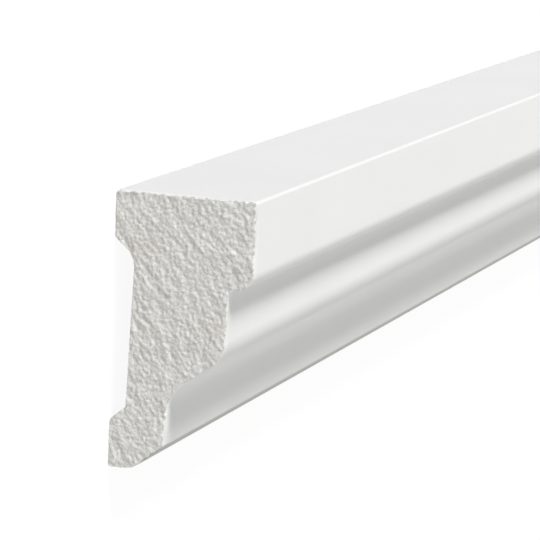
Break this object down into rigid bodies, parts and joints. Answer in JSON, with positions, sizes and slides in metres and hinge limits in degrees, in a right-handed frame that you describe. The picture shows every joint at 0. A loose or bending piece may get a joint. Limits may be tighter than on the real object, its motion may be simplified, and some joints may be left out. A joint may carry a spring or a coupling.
{
  "type": "rake moulding",
  "caption": "White foam-PVC rake moulding, a straight length of roof-edge trim with a square head, a quirk, an ogee face, a bevelled foot and a relieved back.",
  "frame": {"origin": "middle of the length and of the section's height, on the plane of the two back lands", "axes": "+X along the length, +Y from the foot up to the head's top face, +Z out of the moulded face"},
  "size_m": [2.4384, 0.0636, 0.0333],
  "materials": {
    "white_pvc": "satin extruded skin, fine matt foam where it is sawn"
  },
  "bodies": {
    "root": {"rake_moulding": "white_pvc"}
  },
  "joints": []
}
